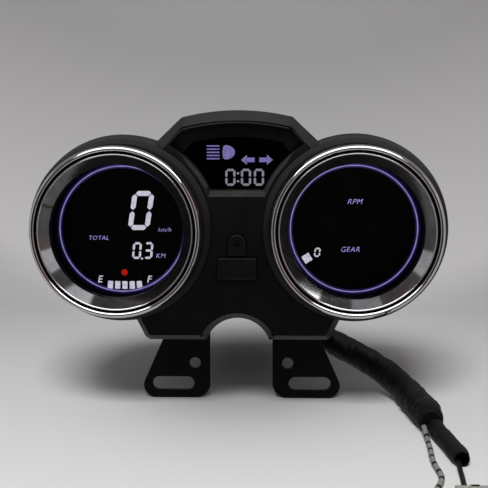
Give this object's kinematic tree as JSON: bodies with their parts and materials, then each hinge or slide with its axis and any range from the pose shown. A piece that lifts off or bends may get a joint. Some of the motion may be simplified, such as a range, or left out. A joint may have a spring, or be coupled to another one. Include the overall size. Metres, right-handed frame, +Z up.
{
  "type": "motorcycle instrument cluster",
  "caption": "Twin round electronic dials and a clock window in one moulded housing, on a slotted steel bracket, with its wiring harness.",
  "frame": {"origin": "middle of the line through the centres of the bracket's two bolt slots, on the bracket's rear face", "axes": "the dials face -Y, +Y is the bracket's rear normal, +Z is up, +X is to the right as the rider sees it"},
  "size_m": [0.2536, 0.2273, 0.1889],
  "materials": {
    "housing_plastic": "fine-grained black ABS",
    "chrome": "chrome-plated, mirror bright",
    "satin_chrome": "bright plating with soft streaks",
    "clear_lens": "clear polycarbonate",
    "smoked_window": "smoked acrylic, polished",
    "black_plastic": "moulded black plastic",
    "display_glass": "black display glass with lit characters",
    "light_guide": "lit lilac light guide",
    "diffuser": "white diffusing sheet",
    "circuit_board": "green solder mask",
    "rubber": "black rubber",
    "black_steel": "black powder coat",
    "zinc": "bright zinc plate",
    "black_sleeve": "soft black PVC sleeving, wrinkled",
    "grey_lead": "pale grey insulation with black marks",
    "nylon": "natural nylon"
  },
  "bodies": {
    "cluster": {"front_housing": "housing_plastic", "rear_housing": "housing_plastic", "housing_seal": "rubber", "left_bezel": "chrome", "left_trim_ring": "satin_chrome", "left_lens": "clear_lens", "left_lens_gasket": "rubber", "left_display_mask": "black_plastic", "left_light_ring": "light_guide", "left_lcd": "display_glass", "left_backlight": "diffuser", "left_circuit_board": "circuit_board", "right_bezel": "chrome", "right_trim_ring": "satin_chrome", "right_lens": "clear_lens", "right_lens_gasket": "rubber", "right_display_mask": "black_plastic", "right_light_ring": "light_guide", "right_lcd": "display_glass", "right_backlight": "diffuser", "right_circuit_board": "circuit_board", "centre_window": "smoked_window", "centre_lcd": "display_glass", "centre_lcd_frame": "black_plastic", "centre_backlight": "diffuser", "main_circuit_board": "circuit_board", "set_switch": "black_plastic", "mode_switch": "black_plastic", "mounting_bracket": "black_steel", "bracket_bush_1": "rubber", "bracket_washer_1": "zinc", "bracket_bolt_1": "zinc", "bracket_bush_2": "rubber", "bracket_washer_2": "zinc", "bracket_bolt_2": "zinc", "bracket_bush_3": "rubber", "bracket_washer_3": "zinc", "bracket_bolt_3": "zinc", "cover_screw_1": "zinc", "cover_screw_2": "zinc", "cover_screw_3": "zinc", "cover_screw_4": "zinc", "cover_screw_5": "zinc", "cover_screw_6": "zinc", "cover_screw_7": "zinc", "harness_grommet": "rubber", "harness_sleeve": "black_sleeve", "branch_boot": "rubber", "branch_sleeve": "black_sleeve", "sensor_lead": "grey_lead", "main_lead": "black_sleeve", "main_connector": "nylon", "sensor_connector": "nylon"},
    "set_key": {"set_button": "black_plastic"},
    "mode_key": {"mode_button": "black_plastic"}
  },
  "joints": [
    {"name": "set_button_press", "type": "slide", "parent": "cluster", "child": "set_key", "axis": [0, 1, 0], "range_m": [0, 0.0015], "stiffness_N_per_m": 900, "springref_m": -0.0005},
    {"name": "mode_button_press", "type": "slide", "parent": "cluster", "child": "mode_key", "axis": [0, 1, 0], "range_m": [0, 0.0015], "stiffness_N_per_m": 900, "springref_m": -0.0005}
  ]
}
